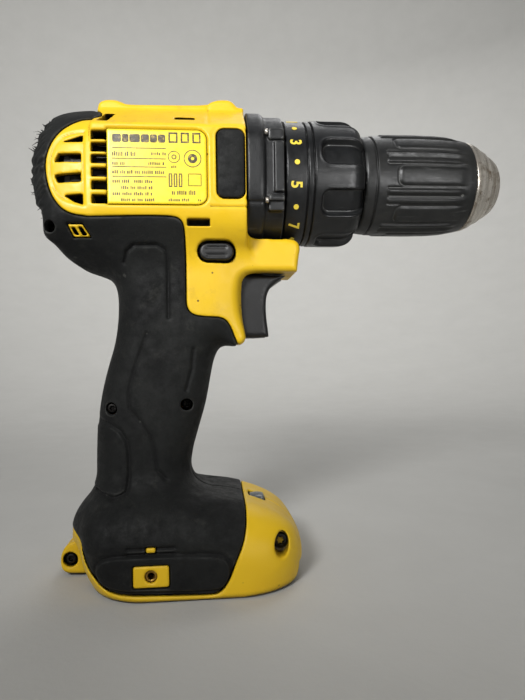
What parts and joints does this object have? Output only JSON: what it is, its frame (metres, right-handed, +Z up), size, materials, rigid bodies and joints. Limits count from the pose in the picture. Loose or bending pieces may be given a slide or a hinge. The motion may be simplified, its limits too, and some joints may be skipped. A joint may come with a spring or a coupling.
{
  "type": "cordless drill driver",
  "caption": "Pistol-grip cordless drill driver, bare tool without battery: keyless chuck, torque collar, two-stage planetary gearbox, sprung trigger and battery bay in the foot.",
  "frame": {"origin": "on the surface that the foot stands on, mid-way along the overall length, in the plane where the housing halves meet", "axes": "+X from the rear of the motor housing towards the chuck's nose, +Y to the user's left, +Z up from the foot to the barrel"},
  "size_m": [0.189, 0.066, 0.1883],
  "materials": {
    "yellow_housing": "satin moulded nylon",
    "overmould": "matt textured soft grip",
    "black_plastic": "satin moulded plastic",
    "grey_plastic": "moulded plastic",
    "label": "satin printed foil",
    "steel": "turned and worn",
    "dark_steel": "blackened steel",
    "brass": "threaded insert",
    "copper": "enamelled wire and copper bars",
    "carbon": "pressed carbon and ferrite",
    "clear_lens": "clear moulded lens",
    "circuit_board": "green board"
  },
  "bodies": {
    "housing": {"housing_right": "yellow_housing", "housing_left": "yellow_housing", "grip_right": "overmould", "grip_left": "overmould", "side_pad_right": "overmould", "side_pad_left": "overmould", "rating_plate_right": "label", "rating_plate_left": "label", "belt_hook_nut_right": "brass", "belt_hook_nut_left": "brass", "rear_screw": "dark_steel", "grip_screw_rear": "dark_steel", "grip_screw_front": "dark_steel", "foot_lug_screw": "dark_steel", "foot_nose_screw": "dark_steel", "motor_can": "steel", "motor_end_cap": "black_plastic", "magnet_upper": "carbon", "magnet_lower": "carbon", "carbon_brush_upper": "carbon", "carbon_brush_lower": "carbon", "rear_bearing": "steel", "gear_case": "black_plastic", "ring_gear_1": "dark_steel", "ring_gear_2": "dark_steel", "front_bearing": "steel", "clutch_spring": "steel", "trigger_spring": "steel", "switch_body": "grey_plastic", "terminal_block": "black_plastic", "led_lens": "clear_lens", "led_board": "circuit_board"},
    "rotor": {"motor_shaft": "steel", "armature": "copper", "commutator": "copper", "cooling_fan": "black_plastic", "pinion": "steel"},
    "carrier": {"carrier_1": "dark_steel"},
    "spindle": {"spindle": "steel", "chuck_body": "steel", "chuck_screw": "dark_steel"},
    "sleeve": {"chuck_sleeve": "black_plastic", "jaw_nut": "dark_steel"},
    "collar": {"torque_collar": "black_plastic"},
    "clutch": {"clutch_nut": "grey_plastic"},
    "trigger": {"trigger": "black_plastic"},
    "direction": {"direction_button": "black_plastic"},
    "speed": {"speed_slider": "black_plastic"},
    "jaw_a": {"chuck_jaw_a": "dark_steel"},
    "jaw_b": {"chuck_jaw_b": "dark_steel"},
    "jaw_c": {"chuck_jaw_c": "dark_steel"},
    "planet_1_a": {"planet_gear_1_a": "steel"},
    "planet_1_b": {"planet_gear_1_b": "steel"},
    "planet_1_c": {"planet_gear_1_c": "steel"},
    "planet_2_a": {"planet_gear_2_a": "steel"},
    "planet_2_b": {"planet_gear_2_b": "steel"},
    "planet_2_c": {"planet_gear_2_c": "steel"}
  },
  "joints": [
    {"name": "spindle_spin", "type": "hinge", "parent": "housing", "child": "spindle", "pos_m": [0, 0, 0.1575], "axis": [1, 0, 0], "continuous": true},
    {"name": "carrier_spin", "type": "hinge", "parent": "housing", "child": "carrier", "pos_m": [0, 0, 0.1575], "axis": [1, 0, 0], "continuous": true},
    {"name": "rotor_spin", "type": "hinge", "parent": "housing", "child": "rotor", "pos_m": [0, 0, 0.1575], "axis": [1, 0, 0], "continuous": true},
    {"name": "planet_1_a_spin", "type": "hinge", "parent": "carrier", "child": "planet_1_a", "pos_m": [-0.022, 0.01215, 0.1575], "axis": [1, 0, 0], "continuous": true},
    {"name": "planet_1_b_spin", "type": "hinge", "parent": "carrier", "child": "planet_1_b", "pos_m": [-0.022, -0.00607, 0.16802], "axis": [1, 0, 0], "continuous": true},
    {"name": "planet_1_c_spin", "type": "hinge", "parent": "carrier", "child": "planet_1_c", "pos_m": [-0.022, -0.00607, 0.14698], "axis": [1, 0, 0], "continuous": true},
    {"name": "planet_2_a_spin", "type": "hinge", "parent": "spindle", "child": "planet_2_a", "pos_m": [-0.008, 0.01215, 0.1575], "axis": [1, 0, 0], "continuous": true},
    {"name": "planet_2_b_spin", "type": "hinge", "parent": "spindle", "child": "planet_2_b", "pos_m": [-0.008, -0.00607, 0.16802], "axis": [1, 0, 0], "continuous": true},
    {"name": "planet_2_c_spin", "type": "hinge", "parent": "spindle", "child": "planet_2_c", "pos_m": [-0.008, -0.00607, 0.14698], "axis": [1, 0, 0], "continuous": true},
    {"name": "sleeve_turn", "type": "hinge", "parent": "spindle", "child": "sleeve", "pos_m": [0, 0, 0.1575], "axis": [1, 0, 0], "range_deg": [0, 4860]},
    {"name": "jaw_a_slide", "type": "slide", "parent": "spindle", "child": "jaw_a", "axis": [0.9724, 0, -0.2334], "range_m": [0, 0.0271]},
    {"name": "jaw_b_slide", "type": "slide", "parent": "spindle", "child": "jaw_b", "axis": [0.9724, 0.2022, 0.1167], "range_m": [0, 0.0271]},
    {"name": "jaw_c_slide", "type": "slide", "parent": "spindle", "child": "jaw_c", "axis": [0.9724, -0.2022, 0.1167], "range_m": [0, 0.0271]},
    {"name": "collar_turn", "type": "hinge", "parent": "housing", "child": "collar", "pos_m": [0, 0, 0.1575], "axis": [1, 0, 0], "range_deg": [-300, 0]},
    {"name": "clutch_nut_slide", "type": "slide", "parent": "housing", "child": "clutch", "axis": [1, 0, 0], "range_m": [-0.0052, 0], "deforming": ["clutch_spring"]},
    {"name": "trigger_slide", "type": "slide", "parent": "housing", "child": "trigger", "axis": [-1, 0, 0], "range_m": [0, 0.0065], "stiffness_N_per_m": 700, "springref_m": -0.004, "deforming": ["trigger_spring"]},
    {"name": "direction_slide", "type": "slide", "parent": "housing", "child": "direction", "axis": [0, 1, 0], "range_m": [-0.0035, 0.0035]},
    {"name": "speed_slide", "type": "slide", "parent": "housing", "child": "speed", "axis": [1, 0, 0], "range_m": [0, 0.007]}
  ],
  "couplings": [
    {"joint": "carrier_spin", "follows": "spindle_spin", "ratio": 4.5},
    {"joint": "rotor_spin", "follows": "spindle_spin", "ratio": 20.25},
    {"joint": "planet_1_a_spin", "follows": "spindle_spin", "ratio": -12.6},
    {"joint": "planet_1_b_spin", "follows": "spindle_spin", "ratio": -12.6},
    {"joint": "planet_1_c_spin", "follows": "spindle_spin", "ratio": -12.6},
    {"joint": "planet_2_a_spin", "follows": "spindle_spin", "ratio": -2.8},
    {"joint": "planet_2_b_spin", "follows": "spindle_spin", "ratio": -2.8},
    {"joint": "planet_2_c_spin", "follows": "spindle_spin", "ratio": -2.8},
    {"joint": "jaw_a_slide", "follows": "sleeve_turn", "m_per_rad": 0.00031831},
    {"joint": "jaw_b_slide", "follows": "sleeve_turn", "m_per_rad": 0.00031831},
    {"joint": "jaw_c_slide", "follows": "sleeve_turn", "m_per_rad": 0.00031831},
    {"joint": "clutch_nut_slide", "follows": "collar_turn", "m_per_rad": 0.00095493}
  ]
}
